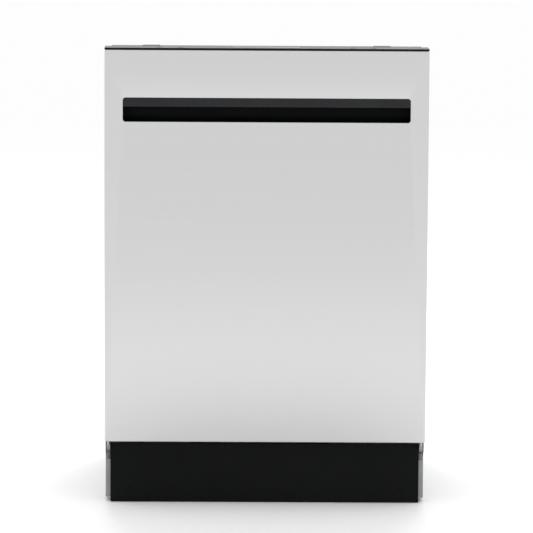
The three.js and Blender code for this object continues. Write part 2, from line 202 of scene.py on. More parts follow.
def eased(node, finish, width=SHEET_EASE, segments=2):
    """A formed piece made from its CAD shape, with whole faces and eased corners."""
    shape = bmesh.new()
    shape.from_mesh(frame["nodes"][node].data)
    bmesh.ops.remove_doubles(shape, verts=shape.verts, dist=1e-5)
    bmesh.ops.dissolve_limit(shape, angle_limit=radians(1), verts=shape.verts, edges=shape.edges)
    piece = formed(node + "_formed", shape)
    soften(piece, width, segments)
    return fit(piece, node, finish)


def surface(name, roughness, metallic=0.0):
    """A new material's nodes: the material, its node maker, its links, shader and coordinates."""
    material = bpy.data.materials.new(name)
    material.use_nodes = True
    nodes, links = material.node_tree.nodes, material.node_tree.links
    shader = nodes["Principled BSDF"]
    shader.inputs["Roughness"].default_value = roughness
    shader.inputs["Metallic"].default_value = metallic
    place = nodes.new("ShaderNodeTexCoord")
    return material, nodes, links, shader, place.outputs["Object"]


def stretched_noise(nodes, links, place, scale, detail=4.0, sharp=0.55):
    """Noise with its own scale along X, Y and Z, in marks per metre."""
    mapping = nodes.new("ShaderNodeMapping")
    mapping.inputs["Scale"].default_value = scale
    noise = nodes.new("ShaderNodeTexNoise")
    noise.inputs["Scale"].default_value = 1
    noise.inputs["Detail"].default_value = detail
    noise.inputs["Roughness"].default_value = sharp
    links.new(place, mapping.inputs["Vector"])
    links.new(mapping.outputs["Vector"], noise.inputs["Vector"])
    return noise.outputs["Fac"]


def ranged(nodes, links, value, low, high):
    span = nodes.new("ShaderNodeMapRange")
    span.inputs["From Min"].default_value = 0.3
    span.inputs["From Max"].default_value = 0.7
    span.inputs["To Min"].default_value = low
    span.inputs["To Max"].default_value = high
    links.new(value, span.inputs["Value"])
    return span.outputs["Result"]


def tinted(nodes, links, value, dark, light):
    mix = nodes.new("ShaderNodeMix")
    mix.data_type = "RGBA"
    mix.inputs[6].default_value = (*dark, 1)
    mix.inputs[7].default_value = (*light, 1)
    links.new(value, mix.inputs[0])
    return mix.outputs[2]


def bumped(nodes, links, shader, value, height, strength=0.4):
    bump = nodes.new("ShaderNodeBump")
    bump.inputs["Strength"].default_value = strength
    bump.inputs["Distance"].default_value = height
    links.new(value, bump.inputs["Height"])
    links.new(bump.outputs["Normal"], shader.inputs["Normal"])


def sheet_metal(name, dark, light, rough, marks, grain=0.02 * MM):
    """Sheet metal: marks gives how finely the surface is streaked along X, Y and Z."""
    metal, nodes, links, shader, place = surface(name, rough[0], 1.0)
    streak = stretched_noise(nodes, links, place, marks, 5)
    cloud = stretched_noise(nodes, links, place, (7, 7, 7), 3)
    colour = tinted(nodes, links, ranged(nodes, links, cloud, 0, 1), dark, light)
    links.new(colour, shader.inputs["Base Color"])
    links.new(ranged(nodes, links, streak, *rough), shader.inputs["Roughness"])
    bumped(nodes, links, shader, streak, grain, 0.3)
    return metal


galvanised = sheet_metal(
    "galvanised_sheet", (0.26, 0.265, 0.265), (0.34, 0.345, 0.345), (0.38, 0.52), (60, 60, 60)
)

for side in ("left", "right"):
    eased(f"base_side_{side}", galvanised)
eased("base_front_rail", galvanised)
eased("base_pan", galvanised)


def domed_head(shape, centre, axis, radius):
    """A pan-head screw: a low dome with a cross recess, standing out along an axis."""
    turn = Vector((0, 0, 1)).rotation_difference(Vector(axis)).to_matrix().to_4x4()
    stand = Matrix.Translation(centre) @ turn
    sides = 20
    rings = [(1.0, 0.0), (1.0, 0.18), (0.82, 0.4), (0.5, 0.52), (0.2, 0.54)]
    previous = None
    for reach, rise in rings:
        ring = []
        for i in range(sides):
            swing = 2 * pi * i / sides
            spot = Vector((radius * reach * cos(swing), radius * reach * sin(swing), radius * rise))
            ring.append(shape.verts.new(stand @ spot))
        if previous:
            for i in range(sides):
                j = (i + 1) % sides
                shape.faces.new((previous[i], previous[j], ring[j], ring[i]))
        else:
            shape.faces.new(list(reversed(ring)))
        previous = ring
    recess = Vector((0, 0, radius * 0.3))
    sunk = [shape.verts.new(stand @ (stand.inverted() @ v.co - recess)) for v in previous]
    for i in range(sides):
        j = (i + 1) % sides
        shape.faces.new((previous[i], previous[j], sunk[j], sunk[i]))
    shape.faces.new(sunk)


def screws(name, places, axis, radius, body, finish):
    shape = bmesh.new()
    for spot in places:
        domed_head(shape, spot, axis, radius)
    return trim(formed(name, shape), body, finish)


zinc = sheet_metal("zinc_plate", (0.5, 0.49, 0.46), (0.6, 0.59, 0.56), (0.28, 0.4), (90, 90, 90))

for side, sign in (("left", -1), ("right", 1)):
    low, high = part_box(f"base_side_{side}")
    face = high.x if sign > 0 else low.x
    spots = [(face, y, z) for y in BASE_SCREW_Y for z in BASE_SCREW_Z]
    screws(f"base_screws_{side}", spots, (sign, 0, 0), 3.4 * MM, "root", zinc)

# ---------------------------------------------------------------------------
# The toe kick
# A pressed steel cover in satin black paint, folded back along its sides and
# bottom. Two screws go through its lugs into the front rail.
# ---------------------------------------------------------------------------
satin_black, nodes, links, shader, place = surface("satin_black_paint", 0.46)
orange_peel = stretched_noise(nodes, links, place, (380, 380, 380), 2)
dust = stretched_noise(nodes, links, place, (9, 9, 9), 4)
patches = ranged(nodes, links, dust, 0, 1)
tone = tinted(nodes, links, patches, (0.0038, 0.0044, 0.0042), (0.0056, 0.0062, 0.006))
links.new(tone, shader.inputs["Base Color"])
links.new(ranged(nodes, links, dust, 0.42, 0.52), shader.inputs["Roughness"])
bumped(nodes, links, shader, orange_peel, 0.05 * MM, 0.25)
shader.inputs["Specular IOR Level"].default_value = 0.06
eased("toe_kick", satin_black, 0.6 * MM, 3)
KICK_SCREW_X = 0.257
KICK_SCREW_Z = 0.027
low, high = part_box("toe_kick")
kick_spots = [(x, low.y, KICK_SCREW_Z) for x in (-KICK_SCREW_X, KICK_SCREW_X)]
screws("toe_kick_screws", kick_spots, (0, -1, 0), 3.6 * MM, "root", satin_black)

# ---------------------------------------------------------------------------
# The levelling legs
# A moulded black foot on a threaded steel stud, with a hexagon under the base
# for the spanner. The stud's thread is a run of fine ridges.
# ---------------------------------------------------------------------------
def moulded(name, dark, light, rough, pitch=260, grain=0.04 * MM):
    """Moulded plastic with a fine spark-eroded grain and slight unevenness of tone."""
    plastic, nodes, links, shader, place = surface(name, rough)
    grainy = stretched_noise(nodes, links, place, (pitch * 4, pitch * 4, pitch * 4), 2)
    cloud = stretched_noise(nodes, links, place, (14, 14, 14), 4)
    colour = tinted(nodes, links, ranged(nodes, links, cloud, 0, 1), dark, light)
    links.new(colour, shader.inputs["Base Color"])
    links.new(ranged(nodes, links, cloud, rough * 0.9, rough * 1.12), shader.inputs["Roughness"])
    bumped(nodes, links, shader, grainy, grain, 0.35)
    return plastic


AXES = {
    "X": Matrix.Rotation(pi / 2, 4, "Y"),
    "Y": Matrix.Rotation(-pi / 2, 4, "X"),
    "Z": Matrix.Identity(4),
}


def spun(shape, profile, centre, axis="Z", sides=48):
    """Turns a profile of (radius, height) points about an axis through centre."""
    stand = Matrix.Translation(centre) @ AXES[axis]
    previous = None
    for radius, height in profile:
        if radius < 1e-6:
            ring = [shape.verts.new(stand @ Vector((0, 0, height)))]
        else:
            ring = []
            for i in range(sides):
                swing = 2 * pi * i / sides
                spot = Vector((radius * cos(swing), radius * sin(swing), height))
                ring.append(shape.verts.new(stand @ spot))
        if previous:
            for i in range(sides):
                j = (i + 1) % sides
                if len(previous) == 1:
                    shape.faces.new((previous[0], ring[j], ring[i]))
                elif len(ring) == 1:
                    shape.faces.new((previous[i], previous[j], ring[0]))
                else:
                    shape.faces.new((previous[i], previous[j], ring[j], ring[i]))
        previous = ring


leg_black = moulded("leg_nylon", (0.016, 0.016, 0.017), (0.026, 0.026, 0.027), 0.5)
THREAD_PITCH = 1.75 * MM
for row in ("front", "rear"):
    for side in ("left", "right"):
        low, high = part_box(f"leg_{row}_{side}")
        middle = (low + high) / 2
        thread = []
        height = 16 * MM
        while height < high.z - low.z - 2 * MM:
            thread += [(4.3 * MM, height), (5 * MM, height + THREAD_PITCH / 2)]
            height += THREAD_PITCH
        profile = [(0, 0), (17.5 * MM, 0), (19 * MM, 1.2 * MM), (19 * MM, 4.2 * MM), (17 * MM, 6 * MM)]
        profile += [(9 * MM, 8 * MM), (8.4 * MM, 9 * MM), (8.4 * MM, 15 * MM), (5 * MM, 15.6 * MM)]
        profile += thread + [(4.2 * MM, high.z - low.z), (0, high.z - low.z)]
        shape = bmesh.new()
        spun(shape, profile, (middle.x, middle.y, low.z))
        fit(formed(f"levelling_leg_{row}_{side}", shape), f"leg_{row}_{side}", leg_black)

# ---------------------------------------------------------------------------
# The door springs
# Two extension springs of oiled wire stand behind the pivots. Each is hooked
# to the base below and to the hinge arm's tail above.
# ---------------------------------------------------------------------------
def rod(name, runs, radius, cyclic=False, resolution=4):
    """Round wire or tube along one or more runs of points."""
    curve = bpy.data.curves.new(name, "CURVE")
    curve.dimensions = "3D"
    curve.bevel_depth = radius
    curve.bevel_resolution = resolution
    curve.use_fill_caps = True
    for run in runs:
        spline = curve.splines.new("POLY")
        spline.points.add(len(run) - 1)
        for point, spot in zip(spline.points, run):
            point.co = (*spot, 1)
        spline.use_cyclic_u = cyclic
    piece = bpy.data.objects.new(name, curve)
    scene.collection.objects.link(piece)
    return piece


def as_mesh(piece):
    """The same piece as a plain mesh."""
    graph = bpy.context.evaluated_depsgraph_get()
    mesh = bpy.data.meshes.new_from_object(piece.evaluated_get(graph))
    name = piece.name
    bpy.data.objects.remove(piece)
    mesh.name = name
    for face in mesh.polygons:
        face.use_smooth = True
    return keep(name, mesh)


spring_steel = sheet_metal("spring_wire", (0.2, 0.2, 0.21), (0.3, 0.3, 0.3), (0.3, 0.42), (200, 200, 200))
COILS = 20
COIL_STEPS = 14
WIRE = 0.9 * MM
for side in ("left", "right"):
    low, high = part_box(f"door_spring_{side}")
    middle = (low + high) / 2
    radius = (high.y - low.y) / 2 - WIRE
    run = []
    for i in range(COILS * COIL_STEPS + 1):
        swing = 2 * pi * i / COIL_STEPS
        rise = low.z + 4 * MM + (high.z - low.z - 8 * MM) * i / (COILS * COIL_STEPS)
        run.append((middle.x + radius * cos(swing), middle.y + radius * sin(swing), rise))
    run = [(middle.x, middle.y, low.z)] + run + [(middle.x, middle.y, high.z)]
    coil = as_mesh(rod(f"coil_spring_{side}", [run], WIRE, resolution=2))
    coil.data.materials.append(spring_steel)
    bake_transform(coil)
    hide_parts(f"door_spring_{side}")

# ---------------------------------------------------------------------------
# The sump and pumps
# Moulded bowls and cans under the tub floor. The circulation pump has a finned
# motor can, the drain pump a ribbed one, and both plug into the sump.
# ---------------------------------------------------------------------------
grey_plastic = moulded("grey_polypropylene", (0.13, 0.14, 0.15), (0.17, 0.18, 0.195), 0.5)
light_plastic = moulded("light_grey_plastic", (0.42, 0.45, 0.48), (0.5, 0.53, 0.56), 0.42)
pump_black = moulded("pump_can", (0.05, 0.05, 0.055), (0.08, 0.08, 0.086), 0.45)

low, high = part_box("sump")
middle = (low + high) / 2
bowl = [(0, 0), (44 * MM, 0), (47 * MM, 2 * MM), (58 * MM, 15 * MM), (58 * MM, 30 * MM), (57 * MM, 31 * MM)]
bowl += [(57 * MM, 34 * MM), (58 * MM, 35 * MM), (58 * MM, 59 * MM), (57 * MM, 60 * MM), (55 * MM, 60 * MM)]
bowl += [(54 * MM, 59 * MM), (54 * MM, 18 * MM), (44 * MM, 5 * MM), (0, 4 * MM)]
shape = bmesh.new()
spun(shape, bowl, (middle.x, middle.y, low.z))
fit(formed("sump_bowl", shape), "sump", grey_plastic)

low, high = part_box("circulation_pump")
middle = (low + high) / 2
pump_long = high.x - low.x
can = [(0, 0), (16 * MM, 0), (16 * MM, 20 * MM), (20 * MM, 22 * MM), (33 * MM, 24 * MM), (34 * MM, 26 * MM)]
can += [(34 * MM, 60 * MM), (31 * MM, 62 * MM), (31 * MM, 64 * MM), (34 * MM, 66 * MM), (34 * MM, 108 * MM)]
can += [(31 * MM, 112 * MM), (26 * MM, 113 * MM)]
fins = 8
for i in range(fins):
    at = 116 * MM + (pump_long - 124 * MM) * i / fins
    can += [(26 * MM, at), (26 * MM, at + 3 * MM), (23.5 * MM, at + 3.4 * MM), (23.5 * MM, at + 5.4 * MM)]
can += [(25 * MM, pump_long - 4 * MM), (22 * MM, pump_long), (0, pump_long)]
shape = bmesh.new()
spun(shape, can, (low.x, middle.y, middle.z), "X")
fit(formed("circulation_pump_can", shape), "circulation_pump", pump_black)

low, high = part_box("drain_pump")
at = Vector((low.x, low.y + 25 * MM, (low.z + high.z) / 2))
can = [(0, 0), (20 * MM, 0), (22 * MM, 2 * MM)]
for i in range(5):
    rib = (4 + 6 * i) * MM
    can += [(25 * MM, rib), (25 * MM, rib + 3 * MM), (22.5 * MM, rib + 3.4 * MM), (22.5 * MM, rib + 5.6 * MM)]
can += [(25 * MM, 36 * MM), (25 * MM, 54 * MM), (22 * MM, 56 * MM)]
can += [(12 * MM, 56.5 * MM), (12 * MM, 80 * MM), (0, 80 * MM)]
shape = bmesh.new()
spun(shape, can, at, "X")
spout = [(0, 0), (9 * MM, 0), (9 * MM, 36 * MM), (8 * MM, 37 * MM)]
spout += [(8 * MM, 39 * MM), (9 * MM, 40 * MM), (8 * MM, 46 * MM), (0, 46 * MM)]
spun(shape, spout, at + Vector((36 * MM, 0, 0)), "Y", 32)
fit(formed("drain_pump_can", shape), "drain_pump", pump_black)

eased("inlet_valve", light_plastic, 1.2 * MM, 3)
eased("junction_box", galvanised, 0.4 * MM)
low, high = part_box("junction_box")
lid_columns = (low.x + 8 * MM, high.x - 8 * MM)
lid_spots = [(x, low.y, z) for x in lid_columns for z in (low.z + 10 * MM, high.z - 8 * MM)]
screws("junction_screws", lid_spots, (0, -1, 0), 3.2 * MM, "root", zinc)

# ---------------------------------------------------------------------------
# The tub
# Rolled stainless sheet, bright and faintly streaked, folded over the top and
# down both sides. The back wall is pressed with upright stiffening swages.
# ---------------------------------------------------------------------------
tub_steel = sheet_metal(
    "tub_stainless", (0.66, 0.665, 0.67), (0.7, 0.705, 0.71), (0.27, 0.33), (7, 7, 620), 0.006 * MM
)
eased("tub_wrapper", tub_steel)


def edge_of(layer):
    """The points round the rim of a grid, in order."""
    there = layer[0] + [row[-1] for row in layer[1:]]
    return there + layer[-1][-2::-1] + [row[0] for row in layer[-2:0:-1]]


def pressed_panel(name, low, high, ribs, rise, columns, rows):
    """A sheet facing -Y and +Y, with pressed ribs given as (x, z, half width, half height)."""
    shape = bmesh.new()
    thick = high.y - low.y

    def lift(x, z):
        most = 0.0
        for rib_x, rib_z, wide, tall in ribs:
            inside = min((wide - abs(x - rib_x)) / (8 * MM), (tall - abs(z - rib_z)) / (8 * MM))
            inside = max(0.0, min(1.0, inside))
            most = max(most, inside * inside * (3 - 2 * inside))
        return most * rise

    layers = []
    for offset in (0.0, thick):
        layer = []
        for r in range(rows + 1):
            z = low.z + (high.z - low.z) * r / rows
            line = []
            for c in range(columns + 1):
                x = low.x + (high.x - low.x) * c / columns
                line.append(shape.verts.new((x, low.y + offset + lift(x, z), z)))
            layer.append(line)
        layers.append(layer)
    for layer, order in ((layers[0], 1), (layers[1], -1)):
        for r in range(rows):
            for c in range(columns):
                quad = (layer[r][c], layer[r][c + 1], layer[r + 1][c + 1], layer[r + 1][c])
                shape.faces.new(quad[::order])
    edge_in, edge_out = edge_of(layers[0]), edge_of(layers[1])
    for i in range(len(edge_in)):
        j = (i + 1) % len(edge_in)
        shape.faces.new((edge_in[j], edge_in[i], edge_out[i], edge_out[j]))
    return formed(name, shape)


low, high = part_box("tub_back")
back_steel = sheet_metal(
    "tub_back_mill_finish", (0.36, 0.365, 0.37), (0.44, 0.445, 0.45), (0.34, 0.44), (30, 30, 30)
)
SWAGE_X = (-0.21, -0.14, -0.07, 0.07, 0.14, 0.21)
SWAGE_Z = (0.27, 0.5, 0.73)
swages = [(x, z, 0.03, 0.1) for x in SWAGE_X for z in SWAGE_Z]
fit(pressed_panel("tub_back_pressing", low, high, swages, 6 * MM, 168, 150), "tub_back", back_steel)
eased("tub_floor", grey_plastic, 2 * MM, 3)

# ---------------------------------------------------------------------------
# The door seals
# Black extruded rubber: a hollow bulb with a lip round the tub's mouth, and a
# straight bulb along the bottom of the door.
# ---------------------------------------------------------------------------
rubber = moulded("seal_rubber", (0.01, 0.01, 0.01), (0.018, 0.018, 0.018), 0.62, 160, 0.08 * MM)


def moulded_run(name, section, path):
    """Carries a closed section of (across, out) points along a path of (point, across, out)."""
    shape = bmesh.new()
    rings = []
    for spot, across, out in path:
        rings.append([shape.verts.new(spot + across * a + out * b) for a, b in section])
    count = len(section)
    for first, second in zip(rings, rings[1:]):
        for i in range(count):
            j = (i + 1) % count
            shape.faces.new((first[i], first[j], second[j], second[i]))
    shape.faces.new(list(reversed(rings[0])))
    shape.faces.new(rings[-1])
    return formed(name, shape)


def bulb(half_wide, half_deep, steps=20):
    section = []
    for i in range(steps):
        swing = 2 * pi * i / steps
        pinch = 1 - 0.16 * (1 + cos(2 * swing + pi)) / 2
        section.append((half_wide * cos(swing) * pinch, half_deep * sin(swing)))
    return section


low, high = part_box("tub_gasket")
seal_x = high.x - 5.5 * MM
seal_top = high.z - 5.5 * MM
seal_y = (low.y + high.y) / 2
CORNER = 22 * MM
OUT = Vector((0, 1, 0))
path = [(Vector((-seal_x, seal_y, low.z)), Vector((1, 0, 0)), OUT)]
for sign, start in ((-1, 180), (1, 90)):
    for i in range(9):
        swing = radians(start - 90 * i / 8)
        away = Vector((cos(swing), 0, sin(swing)))
        centre = Vector((sign * (seal_x - CORNER), seal_y, seal_top - CORNER))
        path.append((centre + away * CORNER, -away, OUT))
path.append((Vector((seal_x, seal_y, low.z)), Vector((-1, 0, 0)), OUT))
fit(moulded_run("mouth_seal", bulb(5 * MM, (high.y - low.y) / 2), path), "tub_gasket", rubber)

SEAL_HALF = 0.27
SEAL_Z = 0.132
path = []
for i in range(25):
    x = SEAL_HALF * (i / 12 - 1)
    path.append((Vector((x, seal_y, SEAL_Z)), Vector((0, 0, 1)), OUT))
bottom_seal = moulded_run("bottom_seal", bulb(4 * MM, (high.y - low.y) / 2), path)
trim(bottom_seal, "door", rubber)

# ---------------------------------------------------------------------------
# The sound blanket
# Dark felt wadding in a stitched quilt, laid over the tub and hanging down
# both sides. The stitches pull it thin, and it puffs up between them.
# ---------------------------------------------------------------------------
felt, nodes, links, shader, place = surface("felt_wadding", 0.95)
fibres = stretched_noise(nodes, links, place, (900, 900, 900), 6, 0.7)
tufts = stretched_noise(nodes, links, place, (170, 170, 170), 6, 0.7)
fluff = tinted(nodes, links, ranged(nodes, links, tufts, 0, 1), (0.03, 0.03, 0.032), (0.05, 0.05, 0.053))
# Painted shade: the felt is painted darker along the stitched seams, where the quilt dips, and keeps its own
# tufted tone on the puffs.
painted_seam_shade = nodes.new("ShaderNodeAttribute")
painted_seam_shade.attribute_name = "painted_seam_shade"
seam_shade_mix = nodes.new("ShaderNodeMix")
seam_shade_mix.data_type = "RGBA"
seam_shade_mix.inputs[6].default_value = (0.012, 0.012, 0.013, 1)
links.new(painted_seam_shade.outputs["Fac"], seam_shade_mix.inputs[0])
links.new(fluff, seam_shade_mix.inputs[7])
links.new(seam_shade_mix.outputs[2], shader.inputs["Base Color"])
bumped(nodes, links, shader, fibres, 0.5 * MM, 0.6)
shader.inputs["Sheen Weight"].default_value = 0.15

low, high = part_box("insulation_blanket")
QUILT = 0.085
THIN = 1.2 * MM
PUFF = 7 * MM
SEWN_IN = 8.6 * MM
LINING = 8.8 * MM
reach = high.x
height = high.z - low.z
fold = 10 * MM
side_run = height - fold
top_run = 2 * (reach - fold)
fold_run = fold * pi / 2
whole = 2 * (side_run + fold_run) + top_run


def over_tub(along):
    """The quilt's outer line: up the left side, across the top and down the right."""
    if along < side_run:
        return Vector((-reach, 0, low.z + along)), Vector((-1, 0, 0))
    along -= side_run
    if along < fold_run:
        swing = pi - (along / fold_run) * pi / 2
        away = Vector((cos(swing), 0, sin(swing)))
        return Vector((-reach + fold, 0, high.z - fold)) + away * fold, away
    along -= fold_run
    if along < top_run:
        return Vector((-reach + fold + along, 0, high.z)), Vector((0, 0, 1))
    along -= top_run
    if along < fold_run:
        swing = pi / 2 - (along / fold_run) * pi / 2
        away = Vector((cos(swing), 0, sin(swing)))
        return Vector((reach - fold, 0, high.z - fold)) + away * fold, away
    along -= fold_run
    return Vector((reach, 0, high.z - fold - along)), Vector((1, 0, 0))


shape = bmesh.new()
ALONG, DEEP = 300, 72
painted_seam_shade_layer = shape.verts.layers.float.new("painted_seam_shade")
layers = [[], []]
for i in range(ALONG + 1):
    along = whole * i / ALONG
    spot, away = over_tub(min(along, whole - 1e-6))
    lines = [[], []]
    for j in range(DEEP + 1):
        y = low.y + (high.y - low.y) * j / DEEP
        puff = abs(sin(pi * along / QUILT) * sin(pi * (y - low.y) / QUILT)) ** 0.45
        edge = min(1.0, j / 2, (DEEP - j) / 2, i / 3, (ALONG - i) / 3)
        depth = SEWN_IN - edge * (THIN + PUFF * puff)
        for line, back in zip(lines, (depth, LINING)):
            vertex = shape.verts.new(spot - away * back + Vector((0, y, 0)))
            # This value carries the painted seam shade: low at the stitches, high on the puffs.
            vertex[painted_seam_shade_layer] = 0.25 + 0.75 * puff
            line.append(vertex)
    layers[0].append(lines[0])
    layers[1].append(lines[1])
for layer in layers:
    for i in range(ALONG):
        for j in range(DEEP):
            shape.faces.new((layer[i][j], layer[i][j + 1], layer[i + 1][j + 1], layer[i + 1][j]))
rims = [edge_of(layer) for layer in layers]
for i in range(len(rims[0])):
    j = (i + 1) % len(rims[0])
    shape.faces.new((rims[0][i], rims[0][j], rims[1][j], rims[1][i]))
blanket = fit(formed("quilted_blanket", shape), "insulation_blanket", felt)

STITCH = 8 * MM
STITCH_STEP = 13 * MM
threads = []


def sewn(along, y):
    spot, away = over_tub(min(max(along, 0), whole - 1e-6))
    return spot - away * (SEWN_IN - THIN - 0.2 * MM) + Vector((0, y, 0))


rows = int(whole / QUILT)
lines = int((high.y - low.y) / QUILT)
for i in range(1, rows + 1):
    y = low.y + 6 * MM
    while y < high.y - STITCH_STEP:
        threads.append([sewn(i * QUILT, y), sewn(i * QUILT, y + STITCH)])
        y += STITCH_STEP
for j in range(1, lines + 1):
    along = 6 * MM
    while along < whole - STITCH_STEP:
        threads.append([sewn(along, low.y + j * QUILT), sewn(along + STITCH, low.y + j * QUILT)])
        along += STITCH_STEP
thread_grey = moulded("stitch_thread", (0.16, 0.16, 0.165), (0.22, 0.22, 0.225), 0.8, 600)
stitching = as_mesh(rod("blanket_stitching", threads, 0.55 * MM, resolution=1))
trim(stitching, "root", thread_grey)

# ---------------------------------------------------------------------------
# The top brace
# A galvanised channel across the front, with the latch's strike bail, and two
# tabs that take screws up into the counter.
# ---------------------------------------------------------------------------
# Painted shade: the brace's sheet is a darker copy of the galvanised sheet, and its Specular Tint darkens its
# grazing reflection, so the strip it shows along the top reads dim.
shaded_brace_steel = sheet_metal("brace_sheet_painted_shade", (0.2, 0.2, 0.21), (0.25, 0.25, 0.26), (0.5, 0.6), (8, 120, 8))
shaded_brace_steel.node_tree.nodes["Principled BSDF"].inputs["Specular Tint"].default_value = (0.12, 0.12, 0.13, 1)
eased("top_brace", shaded_brace_steel)
for side in ("left", "right"):
    eased(f"mounting_bracket_{side}", shaded_brace_steel, 0.3 * MM)

# ---------------------------------------------------------------------------
# The feed pipe and the heater
# A grey moulded pipe clipped up the back wall, with a port for the upper rack
# and a sprayer at the top. The heater is a bright steel tube on small clips.
# ---------------------------------------------------------------------------
def bent(points, radius, steps=6):
    """A run of straight lengths with a round bend at each inner point."""
    run = [Vector(points[0])]
    for before, corner, after in zip(points, points[1:], points[2:]):
        before, corner, after = Vector(before), Vector(corner), Vector(after)
        to_before = (before - corner).normalized()
        to_after = (after - corner).normalized()
        room = min(radius, (before - corner).length * 0.49, (after - corner).length * 0.49)
        start, end = corner + to_before * room, corner + to_after * room
        for i in range(steps + 1):
            t = i / steps
            run.append(start * (1 - t) ** 2 + corner * 2 * t * (1 - t) + end * t * t)
    run.append(Vector(points[-1]))
    return run


low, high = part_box("riser_tube")
HUB_Y = 0.02
PIPE_Y = 0.272
PIPE_Z = 0.804
PORT_Z = 0.509
pipe_run = bent([(0, PIPE_Y, low.z), (0, PIPE_Y, PIPE_Z), (0, HUB_Y, PIPE_Z)], 34 * MM, 12)
pipe = as_mesh(rod("feed_pipe", [pipe_run], 8.8 * MM, resolution=8))
fit(pipe, "riser_tube", light_plastic)
shape = bmesh.new()
port = [(0, 3 * MM), (8 * MM, 0), (11 * MM, 0.5 * MM), (11 * MM, 4 * MM), (9.6 * MM, 5 * MM)]
port += [(9.6 * MM, 14 * MM), (8 * MM, 20 * MM), (0, 20 * MM)]
spun(shape, port, (0, PIPE_Y - 20 * MM, PORT_Z), "Y", 32)
rose = [(0, 786 * MM), (14 * MM, 786 * MM), (20 * MM, 788 * MM), (24 * MM, 792 * MM)]
rose += [(24 * MM, 797 * MM), (20 * MM, 800 * MM), (0, 801 * MM)]
spun(shape, rose, (0, HUB_Y, 0), "Z", 40)
trim(formed("pipe_port_and_rose", shape), "root", light_plastic)

heater_steel = sheet_metal("heater_tube", (0.42, 0.4, 0.37), (0.55, 0.53, 0.5), (0.2, 0.34), (40, 40, 40))
low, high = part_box("heater")
loop_radius = (high.x - low.x) / 2 - 4 * MM
loop_z = (low.z + high.z) / 2
loop = []
for i in range(73):
    swing = radians(105 + 330 * i / 72)
    loop.append((loop_radius * cos(swing), HUB_Y + loop_radius * sin(swing), loop_z))
heater = as_mesh(rod("heater_loop", [loop], 3.8 * MM, resolution=5))
fit(heater, "heater", heater_steel)

# ---------------------------------------------------------------------------
# The filters and the float
# A fine perforated stainless plate, the lift-out cup with its finger bar, and
# the overfill float under its ribbed dome.
# ---------------------------------------------------------------------------
filter_mesh, nodes, links, shader, place = surface("perforated_stainless", 0.3, 1.0)
holes = nodes.new("ShaderNodeTexVoronoi")
holes.inputs["Scale"].default_value = 420
links.new(place, holes.inputs["Vector"])
hole_depth = ranged(nodes, links, holes.outputs["Distance"], 0, 1)
# Painted shade: the perforations are not cut, so the spots are painted dark for the shade seen in the holes;
# the same spots also dent the bump.
painted_hole_shade = tinted(nodes, links, hole_depth, (0.08, 0.08, 0.085), (0.6, 0.6, 0.61))
links.new(painted_hole_shade, shader.inputs["Base Color"])
bumped(nodes, links, shader, hole_depth, 0.3 * MM, 0.6)
eased("filter_plate", filter_mesh, 0.4 * MM)

low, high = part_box("filter_cup")
middle = (low + high) / 2
shape = bmesh.new()
cup = [(0, 0), (32 * MM, 0), (34 * MM, 1.5 * MM), (37 * MM, 6 * MM)]
for i in range(9):
    rib = (9 + 4.4 * i) * MM
    cup += [(37 * MM, rib), (37 * MM, rib + 1.6 * MM), (36 * MM, rib + 2 * MM), (36 * MM, rib + 4 * MM)]
cup += [(37 * MM, 48.5 * MM), (40.6 * MM, 50 * MM), (41 * MM, 51.5 * MM)]
cup += [(40.4 * MM, 53 * MM), (35 * MM, 53 * MM)]
cup += [(34 * MM, 52 * MM), (34 * MM, 7 * MM), (31 * MM, 3 * MM), (0, 3 * MM)]
spun(shape, cup, (middle.x, middle.y, low.z))
fit(formed("lift_out_filter", shape), "filter_cup", light_plastic)


def rounded_block(shape, low, high):
    """A plain block, whose edges its bevel rounds later."""
    spots = [(x, y, z) for x in (low[0], high[0]) for y in (low[1], high[1]) for z in (low[2], high[2])]
    corners = [shape.verts.new(spot) for spot in spots]
    for a, b, c, d in ((0, 1, 3, 2), (4, 6, 7, 5), (0, 4, 5, 1), (2, 3, 7, 6), (0, 2, 6, 4), (1, 5, 7, 3)):
        shape.faces.new((corners[a], corners[b], corners[c], corners[d]))


shape = bmesh.new()
BAR_HALF = 34.5 * MM
bar_low = (-BAR_HALF, middle.y - 3 * MM, high.z - 12 * MM)
rounded_block(shape, bar_low, (BAR_HALF, middle.y + 3 * MM, high.z))
bar_piece = soften(formed("filter_finger_bar", shape), 1.4 * MM, 3)
trim(bar_piece, "filter_cup", light_plastic)

low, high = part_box("float")
middle = (low + high) / 2
dome = [(0, 0), (20 * MM, 0), (21.6 * MM, 1 * MM), (21.8 * MM, 3.6 * MM)]
for i in range(10):
    swing = radians(9 * i)
    dome.append(((6 + 14 * cos(swing)) * MM, (5 + 19.6 * sin(swing)) * MM))
dome += [(6 * MM, 24.8 * MM), (0, 25 * MM)]
shape = bmesh.new()
spun(shape, dome, (middle.x, middle.y, low.z))
fit(formed("float_dome", shape), "float", light_plastic)

# ---------------------------------------------------------------------------
# The racks
# Welded steel wire in a grey nylon coat. U-shaped wires run both ways, a heavy
# wire ties their tops, and rows of tines stand on the floor to part the plates.
# ---------------------------------------------------------------------------
rack_coat = moulded("nylon_coat", (0.2, 0.22, 0.245), (0.26, 0.28, 0.31), 0.36, 90, 0.03 * MM)
WIRE_R = 1.7 * MM
RIM_R = 2.8 * MM
BEND = 12 * MM
LOWER_FLOOR = 0.168
UPPER_FLOOR = 0.522
UPPER_BACK = 0.225
BELT_HEIGHT = 0.52


